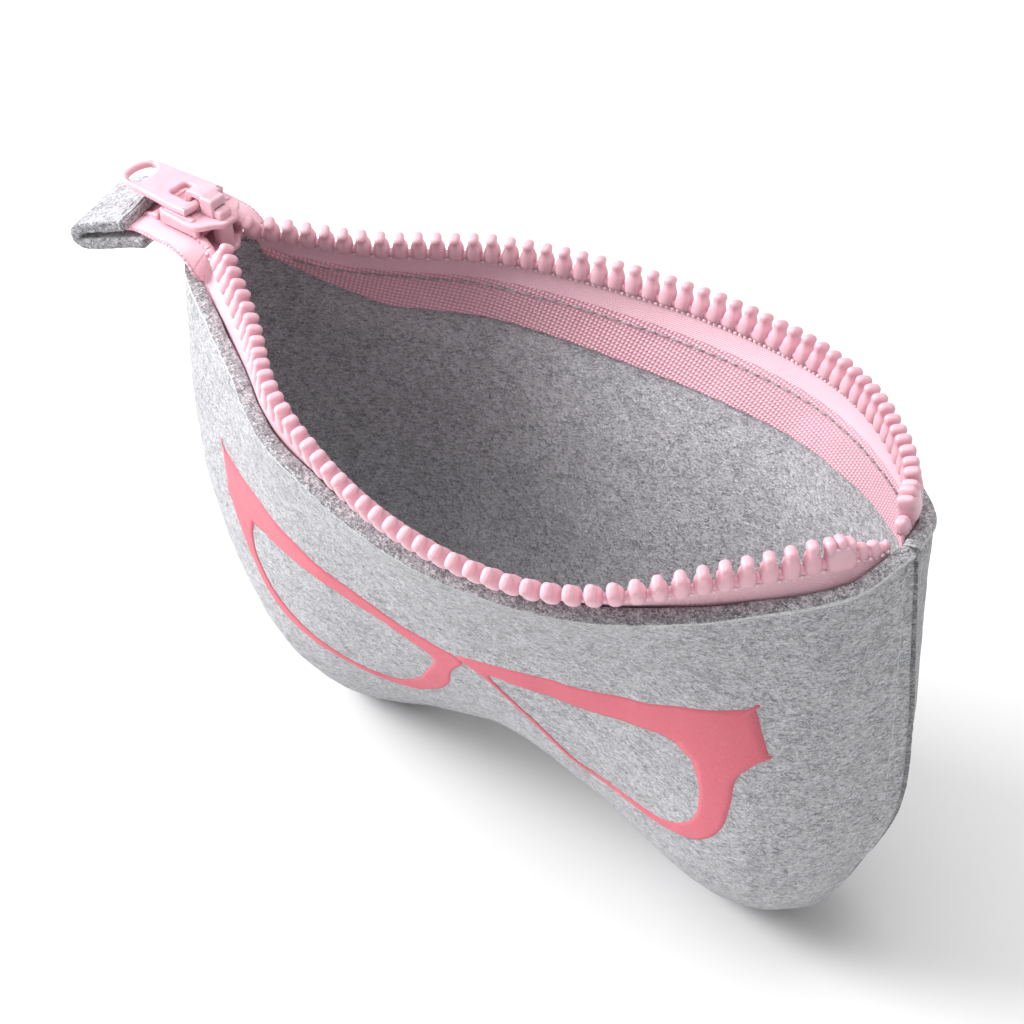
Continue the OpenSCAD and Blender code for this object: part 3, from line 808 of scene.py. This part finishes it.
def rope(points, radius, sides, twist=0.0, turn_length=1.3):
    """Points and faces of a tube along the points, with an optional twisted relief."""
    n = len(points)
    t = unit(np.gradient(points, axis=0))
    a = unit(np.cross(t, [0, 0, 1.0]))
    b = np.cross(a, t)
    w = np.linspace(0, 2 * math.pi, sides, endpoint=False)
    run = run_of(points)[:, None]
    r = radius * (1 + twist * np.sin(2 * w[None, :] + run * 2 * math.pi / turn_length))
    across, up = (np.cos(w) * r)[..., None], (np.sin(w) * r)[..., None]
    ring = points[:, None] + a[:, None] * across + b[:, None] * up
    faces = grid_faces(n, sides, close_columns=True)
    faces += [tuple(range(sides))[::-1], tuple((n - 1) * sides + k for k in range(sides))]
    return ring.reshape(-1, 3), faces


def tape_cord(half, side, lean):
    line, _, _ = zip_line(lean)
    run = run_of(line[:, :3])
    s = np.arange(0, run[-1], 0.33)
    points = at_run(line[:, :3], run, s)
    for part, cut, keep, rest in two_lengths(points[:, 0], cord_keep, cord_rest):
        ring, faces = rope(points[cut], cord_r, 12, 0.10)
        obj = add_mesh(f"{half}_cord{part}", in_frame(ring, side), faces, [cord_pink])
        close_flat(obj, side, keep, rest)
        finish_piece(obj, "case", [f"{half}_tape_cord"])


def edge_beads(half, side, lean):
    """Row of small thread beads just under the teeth, on both faces of the tape."""
    line, rows = tape_grid(lean)
    out = grid_out(rows)
    at = np.array([at_run(row, reach, bead_row) for reach, row in zip(across_of(rows), rows)])
    run = run_of(at)
    ball, faces = lofted([[-0.34, 0.06, 0.06], [-0.2, 0.25, 0.25], [0, 0.34, 0.34],
                          [0.2, 0.25, 0.25], [0.34, 0.06, 0.06]], rings=7, sides=8, corner=2)
    parts = []
    for s in np.arange(teeth_start - 4, run[-1] - 0.6, bead_pitch):
        spot, normal = at_run(at, run, s), at_run(out[:, 4], run, s)
        for face in (-1, 1):
            rise = normal * face * (tape_t / 2 + 0.12)
            parts.append((ball * [1.5, 1.3, 1.2] + spot + rise, faces))
    points, faces = combined(parts)
    obj = add_mesh(f"{half}_tape_beads", in_frame(points, side), faces, [bead_pink])
    close_flat(obj, side, tape_keep, tape_rest)
    finish_piece(obj, "case")


for half in HALVES:
    zip_tape(*half)
for half in HALVES:
    tape_cord(*half)

# ---- Teeth and stops ----

# Place along the tooth, half width and half thickness, from the root behind the cord to the tip
tooth_profile = [
    [-0.75, 0.85, 1.0], [-0.55, 1.4, 1.55], [0.0, 1.64, 1.85], [1.1, 1.70, 1.92],
    [2.0, 1.62, 1.85], [2.7, 1.32, 1.74], [3.25, 1.08, 1.64], [3.75, 1.04, 1.6],
    [4.35, 1.16, 1.66], [4.85, 1.04, 1.52], [5.2, 0.70, 1.15], [5.35, 0.25, 0.6],
]


def lofted(profile, rings=28, sides=20, corner=2.6):
    """Points and faces of a rounded body with a superellipse section, along y."""
    rows = spline(profile, np.linspace(0, 1, rings))
    w = np.linspace(0, 2 * math.pi, sides, endpoint=False)
    cos, sin = np.cos(w), np.sin(w)
    x = np.sign(cos) * np.abs(cos) ** (2 / corner)
    z = np.sign(sin) * np.abs(sin) ** (2 / corner)
    ring = np.stack([rows[:, 1:2] * x, np.repeat(rows[:, :1], sides, 1), rows[:, 2:3] * z], -1)
    faces = grid_faces(rings, sides, close_columns=True)
    faces += [tuple(range(sides))[::-1], tuple((rings - 1) * sides + k for k in range(sides))]
    return ring.reshape(-1, 3), faces


def combined(parts):
    points, faces, base = [], [], 0
    for p, f in parts:
        points.append(np.asarray(p))
        faces += [tuple(i + base for i in face) for face in f]
        base += len(p)
    return np.concatenate(points), faces


def close_rigid(obj, side, cord):
    """Works out how a hard piece on the tape would come in to the middle, all but keeping its shape, and
    how far it would sink where the slider ends its travel, so that its tip stays under the upper plate.
    The move is not applied; the piece only gets its own copy of its mesh."""
    top = max(v.co.z for v in obj.data.vertices) / MM
    share = min(max((cord[0] + closed_ramp - closed_slider_x) / closed_ramp * 2, 0), 1)
    sink = max(0, top - closed_top) * share
    move = np.array([0, side * (tooth_rest - cord[1]), -sink])
    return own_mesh(obj)


def teeth_row(half, side, lean, offset, count):
    line, _, _ = zip_line(lean)
    run = run_of(line[:, :3])
    shape, faces = lofted(tooth_profile)
    rng = np.random.default_rng(7 + side)
    for k in range(count):
        place = zip_frame(line, run, teeth_start + offset + k * tooth_pitch)
        scale = 1 + rng.uniform(-0.02, 0.02, 3)
        points = in_frame(place_in(place, shape * scale), side)
        obj = add_mesh(f"{half}_tooth_{k + 1:02d}", points, faces, [plastic])
        close_rigid(obj, side, place[:3, 3])
        finish_piece(obj, "case", [f"{half}_teeth"])


def top_stop(half, side, lean, offset):
    line, _, _ = zip_line(lean)
    run = run_of(line[:, :3])
    row_end = teeth_start + offset + teeth_per_row * tooth_pitch
    place = zip_frame(line, run, row_end + 0.6)
    base, faces = lofted([[-1.6, 2.0, 1.2], [-1.3, 2.6, 1.75], [0, 2.85, 2.0], [2.2, 2.75, 1.95],
                          [3.0, 2.2, 1.8], [3.3, 1.2, 1.2]], rings=18, sides=28, corner=3.5)
    parts = [(place_in(place, base + [0.6, 0, 0]), faces)]
    bump, faces = lofted([[1.4, 0.9, 1.6], [2.8, 1.0, 1.8], [3.8, 1.02, 1.7],
                          [4.4, 0.75, 1.3], [4.65, 0.25, 0.6]], rings=14)
    for x, tall in ((-1.25, 1.0), (0.7, 1.04), (2.5, 0.86)):
        parts.append((place_in(place, bump * [1, tall, 1] + [x, 0, 0]), faces))
    nub, faces = lofted([[-1.7, 0.4, 0.5], [-1.3, 1.0, 1.1], [0, 1.25, 1.35],
                         [1.2, 1.0, 1.1], [1.6, 0.3, 0.5]], rings=14, corner=2.2)
    for s in (5.6, 8.2):
        nub_place = zip_frame(line, run, min(row_end + s, run[-1] - 1.2))
        parts.append((place_in(nub_place, nub + [0, 0.5, 0]), faces))
    points, faces = combined(parts)
    obj = add_mesh(f"{half}_stop", in_frame(points, side), faces, [plastic])
    close_rigid(obj, side, place[:3, 3])
    finish_piece(obj, "case", [f"{half}_top_stop"])


# The rear row is half a pitch along, with one more tooth next to the slider
front_half, rear_half = HALVES
teeth_row(*front_half, 0, teeth_per_row)
teeth_row(*rear_half, -tooth_pitch / 2, teeth_per_row + 1)
top_stop(*front_half, 0)
top_stop(*rear_half, tooth_pitch / 2)
for half in HALVES:
    edge_beads(*half)

# ---- Slider, pull and lower stop: moulded pieces with rounded edges ----


def smooth_outline(points, count=120):
    return ring_spline(points, np.arange(count) / count)


def mirrored(start, half, end):
    """Outline that is the same on both sides of the x axis, from one half and its two ends."""
    return [start] + half + [end] + [[x, -y] for x, y in half[::-1]]


def moulded(outlines, thickness, bevel, matrix):
    """Mesh of a flat plate with rounded edges, from an outline and any holes, put at matrix."""
    curve = bpy.data.curves.new("outline", "CURVE")
    curve.dimensions = "2D"
    curve.fill_mode = "BOTH"
    curve.extrude = (thickness / 2 - bevel) * MM
    curve.bevel_depth = bevel * MM
    curve.bevel_resolution = 3
    curve.offset = -bevel * MM
    for k, outline in enumerate(outlines):
        outline = np.asarray(outline, float)
        turn = np.sum(outline[:, 0] * np.roll(outline[:, 1], -1)
                      - outline[:, 1] * np.roll(outline[:, 0], -1))
        if (turn > 0) != (k == 0):
            outline = outline[::-1]
        line = curve.splines.new("POLY")
        line.points.add(len(outline) - 1)
        line.use_cyclic_u = True
        for point, (x, y) in zip(line.points, outline):
            point.co = (x * MM, y * MM, 0, 1)
    holder = linked("outline", curve)
    bpy.context.view_layer.update()
    mesh = bpy.data.meshes.new_from_object(holder.evaluated_get(bpy.context.evaluated_depsgraph_get()))
    bpy.data.objects.remove(holder)
    mesh.transform(matrix)
    return mesh


def block(low, high, bevel, matrix):
    """Mesh of a box with rounded edges between two corners in millimetres, put at matrix."""
    low, high = Vector(low) * MM, Vector(high) * MM
    work = bmesh.new()
    bmesh.ops.create_cube(work, size=1)
    for vertex in work.verts:
        share = vertex.co + Vector((0.5, 0.5, 0.5))
        vertex.co = Vector([low[i] + (high[i] - low[i]) * share[i] for i in range(3)])
    bmesh.ops.bevel(work, geom=list(work.edges), offset=bevel * MM, segments=3,
                    profile=0.5, affect="EDGES")
    mesh = bpy.data.meshes.new("block")
    work.to_mesh(mesh)
    work.free()
    mesh.transform(matrix)
    return mesh


def plastic_piece(name, meshes):
    """One piece of zip plastic from several meshes."""
    work = bmesh.new()
    for mesh in meshes:
        work.from_mesh(mesh)
    bmesh.ops.remove_doubles(work, verts=work.verts, dist=1e-6)
    bmesh.ops.recalc_face_normals(work, faces=work.faces)
    joined = bpy.data.meshes.new(name)
    work.to_mesh(joined)
    work.free()
    joined.materials.append(plastic)
    joined.shade_smooth()
    obj = linked(name, joined)
    obj.modifiers.new("even_shading", "WEIGHTED_NORMAL").weight = 90
    return obj


def at_mm(x, y, z):
    return Matrix.Translation(Vector((x + MIDDLE[0], y + MIDDLE[1], z)) * MM)


stand_up = Matrix.Rotation(math.pi / 2, 4, "X")
half_w = slider_width / 2
rear_x, nose_x = -slider_length / 2, slider_length / 2
plate_outline = smooth_outline(mirrored([rear_x, 0], [
    [rear_x + 0.1, -half_w + 2.2], [rear_x + 1.4, -half_w + 0.7], [-2.5, -half_w + 0.35],
    [2, -half_w], [4.4, -half_w + 0.7], [6.2, -3.6], [nose_x - 0.2, -1.9],
], [nose_x, 0]))


def slider_piece():
    here = at_mm(slider_x, 0, zip_z)
    meshes = [moulded([plate_outline], plate_t, 0.45, here @ Matrix.Translation((0, 0, z * MM)))
              for z in (plate_in + plate_t / 2, -plate_in - plate_t / 2)]
    for side in (-1, 1):
        for low_z, high_z in ((0.95, plate_in + 0.5), (-plate_in - 0.5, -0.95)):
            edge = sorted((side * (half_w - 0.55), side * (half_w - 1.75)))
            meshes.append(block((rear_x + 1, edge[0], low_z), (3.6, edge[1], high_z), 0.3, here))
        rib = sorted((side * (half_w - 1.1), side * (half_w - 2.3)))
        meshes.append(block((rear_x + 1.6, rib[0], plate_out - 0.4),
                            (2.2, rib[1], plate_out + 0.45), 0.35, here))
    post = smooth_outline(mirrored([2.9, 0], [[3.2, -1.1], [6, -1.5]], [8, 0]), 60)
    meshes.append(moulded([post], 2 * plate_in + 0.6, 0.2, here))
    obj = plastic_piece("slider", meshes)
    finish_piece(obj, "slider", ["slider_body"])


def crown_piece():
    back, front = -3.6, 4.9
    inner, outer = bar_z + 1.3 - plate_out, bar_z + 2.7 - plate_out
    arch = [
        [back, -0.3], [back, outer * 0.6], [back + 0.4, outer - 0.5], [back + 1.4, outer],
        [0, outer + 0.05], [front - 1.2, outer], [front - 0.2, outer - 0.5], [front, outer * 0.5],
        [front, -0.3], [0.9, -0.3], [0.9, inner * 0.6], [0.4, inner],
        [back + 2.2, inner], [back + 1.5, inner * 0.6], [back + 1.4, -0.3],
    ]
    here = at_mm(slider_x, 0, zip_z + plate_out)
    meshes = [moulded([arch], 3.4, 0.35, here @ stand_up),
              block((1.0, -2.1, -0.2), (front, 2.1, outer), 0.6, here),
              block((front - 1.2, -1.7, -0.2), (front + 1.9, 1.7, outer * 0.45), 0.6, here)]
    obj = plastic_piece("crown", meshes)
    finish_piece(obj, "slider", ["slider_crown"])


def pull_piece():
    outline = smooth_outline(mirrored([1.1, 0], [
        [0.9, 5.3], [0, 5.75], [-4, 5.8], [-8.5, 5.5], [-12, 5.25],
        [-15.5, 5.15], [-18.2, 4.7], [-20.1, 3.5], [-20.9, 1.8],
    ], [-21.05, 0]), 200)
    window = smooth_outline([[-0.9, -2.25], [-0.9, 2.25], [-3.8, 2.35], [-6.7, 2.2],
                             [-7.0, 0], [-6.7, -2.2], [-3.8, -2.35]], 60)
    eye = smooth_outline([[-14.7, 0.3], [-14.6, -2.2], [-15.7, -3.7], [-17.6, -3.7], [-19.2, -2.4],
                          [-19.7, 0], [-19.3, 2.1], [-18.3, 3.4], [-16.8, 3.5], [-15.4, 2.4]], 90)
    here = at_mm(slider_x + bar_x, 0, zip_z + bar_z)
    meshes = [moulded([outline, window, eye], 1.7, 0.6, here)]
    ring, faces = rope(np.array([[0, y, 0.001 * y] for y in np.linspace(-5.4, 5.4, 12)]), 0.9, 20)
    bar = bpy.data.meshes.new("bar")
    bar.from_pydata([tuple(p * MM) for p in ring], [], faces)
    bar.transform(here)
    obj = plastic_piece("pull", meshes + [bar])
    finish_piece(obj, "pull", ["pull_tab"])


def bottom_stop_piece():
    here = at_mm(slider_x + rear_x - 1.5, 0, zip_z)
    obj = plastic_piece("lower_stop", [block((-1.1, -5.7, -1.7), (1.1, 5.7, 1.7), 0.6, here)])
    finish_piece(obj, "case", ["bottom_stop"])


slider_piece()
crown_piece()
pull_piece()
bottom_stop_piece()


def end_film():
    """Pressed film that joins the two tapes between the lower stop and the felt tab."""
    x = np.linspace(-110, -85.2, 40)
    y = np.linspace(-9.2, 9.2, 25)
    grid_x, grid_y = np.meshgrid(x, y, indexing="ij")
    droop = np.minimum(grid_x - tab_start, 0) * math.tan(tab_droop)
    sag = 0.35 * np.sin((grid_x + 98) * 0.55) - 0.02 * grid_y**2 * np.clip((grid_x + 97) / 10, 0, 1)
    mid = np.stack([grid_x, grid_y, zip_z + droop - 0.25 + sag * 0.5], -1)
    mid = mid[x > tab_start - 6]
    obj = slab("tape_end_film", mid, grid_out(mid), 0.9, [film])
    place_cloth(obj, 1)
    finish_piece(obj, "case")


end_film()

# ---- Felt tab folded over the tape ends ----

tab_length = 17
tab_width = 20
tab_gap = tape_t + 2 * tape_clear + 0.3
tab_swing = math.radians(13)

# The tab hangs a little askew, towards the printed side
tab_place = (at_mm(tab_start - 2.3, -1.8, zip_z - 0.6) @ Matrix.Rotation(tab_swing, 4, "Z")
             @ Matrix.Rotation(-tab_droop, 4, "Y"))


def end_tab():
    inner_r = tab_gap / 2
    mid_r = inner_r + tab_felt_t / 2
    straight = tab_length - mid_r - tab_felt_t / 2
    turn = np.linspace(-math.pi / 2, math.pi / 2, 25)[1:-1]
    low = [[x, -mid_r - 0.009 * max(0, x + straight)**1.6] for x in np.linspace(2.2, -straight, 28)]
    fold = [[-straight - mid_r * math.cos(a), mid_r * math.sin(a)] for a in turn]
    high = [[x, mid_r + 0.004 * max(0, x + straight)**1.5] for x in np.linspace(-straight, -1.2, 25)]
    centre = np.array(low + fold + high)
    t = unit(np.gradient(centre, axis=0))
    normal = np.stack([t[:, 1], -t[:, 0]], -1)
    y = np.linspace(-tab_width / 2, tab_width / 2, 41)
    mid = np.stack(np.broadcast_arrays(centre[:, :1], y[None], centre[:, 1:]), -1)
    out = np.stack(np.broadcast_arrays(normal[:, :1], 0 * y[None], normal[:, 1:]), -1)
    spots = mid.reshape(-1, 3)
    bumps = 0.22 * lattice_noise(spots, 5, 71) + 0.06 * lattice_noise(spots, 1.6, 72)
    mid = mid + out * bumps.reshape(mid.shape[:2] + (1,))
    obj = slab("end_tab", mid, out, tab_felt_t, [felt, cut_face_shade], fray=0.3, round_ends=True)
    obj.data.transform(Matrix.Diagonal((MM, MM, MM, 1)))
    obj.data.transform(tab_place)
    finish_piece(obj, "case", ["end_tab_felt"])


end_tab()

# ---- Stitches: short lengths of thread that dip into the cloth at both ends ----


stitch_pitch = 2.9
stitch_length = 2.3
stitch_r = 0.2
seam_pitch = 3.1
seam_length = 2.4
seam_inset = 2.6
thread_sink = 0.12


def dashes(path, out, pitch, length, radius, rise):
    """Threads along a path of points, each bowed up by rise in the middle."""
    run = run_of(path)
    parts = []
    for start in np.arange(pitch / 2, run[-1] - length, pitch):
        s = start + np.linspace(0, length, 7)
        p = at_run(path, run, s)
        n = unit(at_run(out, run, s))
        bow = np.sin(np.linspace(0, math.pi, 7))[:, None] * rise - thread_sink
        parts.append(rope(p + n * bow, radius, 8))
    return combined(parts)


def tape_stitches(half, side, lean):
    u = np.linspace(0.17, 0.955, 500)
    mid, out = soft_mid(u, stitch_drop * panel_drop(u, lean), lean)
    parts = [dashes(mid + out * (felt_t / 2), out, stitch_pitch, stitch_length, stitch_r, 0.2)]
    inner = mid - out * (felt_t / 2 + tape_clear + tape_t)
    parts.append(dashes(inner, -out, stitch_pitch, stitch_length, 0.19, 0.24))
    points, faces = combined(parts)
    outside = len(parts[0][1])
    obj = add_mesh(f"{half}_tape_stitches", in_frame(points, side), faces,
                   [thread_light, thread_grey])
    obj.data.polygons.foreach_set("material_index", [0 if k < outside else 1 for k in range(len(faces))])
    close_flat(obj, side, felt_keep, felt_rest)
    finish_piece(obj, "case", [f"{half}_tape_stitching"])


def seam_stitches(half, side, lean):
    v = np.linspace(0.04, 0.93, 160)
    u = np.linspace(0.03, 0.97, 500)
    low_v = 1 - seam_inset * panel_drop(u, lean)
    parts = []
    for along, down in ((0 * v + 0.022, v), (0 * v + 0.978, v), (u, low_v)):
        mid, out = soft_mid(along, down, lean)
        parts.append(dashes(mid + out * (felt_t / 2 - 0.05), out,
                            seam_pitch, seam_length, stitch_r, 0.2))
    points, faces = combined(parts)
    points[:, 2] = np.maximum(points[:, 2], 0.02)
    obj = add_mesh(f"{half}_seam_stitches", in_frame(points, side), faces, [thread_light])
    close_flat(obj, side, felt_keep, felt_rest)
    finish_piece(obj, "case", ["seam_stitching"])


def tab_stitches():
    y = np.linspace(-tab_width / 2 + 1.6, tab_width / 2 - 1.6, 60)
    parts = []
    for sign in (1, -1):
        top = sign * (tab_gap / 2 + tab_felt_t + 0.12)
        path = np.stack([0 * y - 3.5, y, 0 * y + top], -1)
        out = np.stack([0 * y, 0 * y, 0 * y + sign], -1)
        parts.append(dashes(path, out, stitch_pitch, 2.2, stitch_r, 0.25))
    points, faces = combined(parts)
    obj = add_mesh("tab_stitches", points * MM, faces, [thread_light])
    obj.data.transform(tab_place)
    finish_piece(obj, "case", ["end_tab_stitching"])


for half in HALVES:
    tape_stitches(*half)
for half in HALVES:
    seam_stitches(*half)
tab_stitches()

# ---- Camera, floor and light ----


def camera():
    azimuth, elevation, roll = math.radians(41.5), math.radians(39.6), math.radians(-3.06)
    ahead = Vector((-math.sin(azimuth) * math.cos(elevation),
                    math.cos(azimuth) * math.cos(elevation), -math.sin(elevation)))
    right = Vector((math.cos(azimuth), math.sin(azimuth), 0))
    up = right.cross(ahead)
    turned_right = right * math.cos(roll) + up * math.sin(roll)
    turned_up = up * math.cos(roll) - right * math.sin(roll)
    turn = Matrix((turned_right, turned_up, -ahead)).transposed().to_4x4()
    data = bpy.data.cameras.new("camera")
    data.lens = 97.7
    data.sensor_width = 36
    data.shift_x = -0.008
    data.shift_y = 0.003
    data.clip_start = 0.01
    obj = linked("camera", data)
    obj.matrix_world = Matrix.Translation((0.2964, -0.3239, 0.4312)) @ turn
    bpy.context.scene.camera = obj


camera()


def lamp(name, place, target, size, power):
    data = bpy.data.lights.new(name, "AREA")
    data.energy, data.size = power, size
    obj = linked(name, data)
    obj.location = place
    obj.rotation_euler = (Vector(target) - Vector(place)).to_track_quat("-Z", "Y").to_euler()


def studio():
    reach = 15
    corners = [(-reach, -reach, 0), (reach, -reach, 0), (reach, reach, 0), (-reach, reach, 0)]
    floor = add_mesh("floor", corners, [(0, 1, 2, 3)], [], smooth=False, turn_out=False)
    finish = Finish("floor_paper", Roughness=0.9)
    finish.shader.inputs["Base Color"].default_value = (0.86, 0.86, 0.86, 1)
    floor.data.materials.append(finish.material)
    centre = (0, 0, 0.06)
    lamp("key", (-0.85, -0.4, 0.65), centre, size=0.6, power=17.5)
    lamp("top", (0.0, 0.1, 1.1), centre, size=0.8, power=7)
    lamp("fill", (0.8, -0.9, 0.5), centre, size=1.0, power=1.0)
    world = bpy.data.worlds.new("studio")
    world.use_nodes = True
    sky = world.node_tree.nodes["Background"].inputs
    sky["Color"].default_value = (1, 1, 1, 1)
    sky["Strength"].default_value = 0.45
    bpy.context.scene.world = world
    bpy.context.scene.view_settings.view_transform = "Standard"


studio()
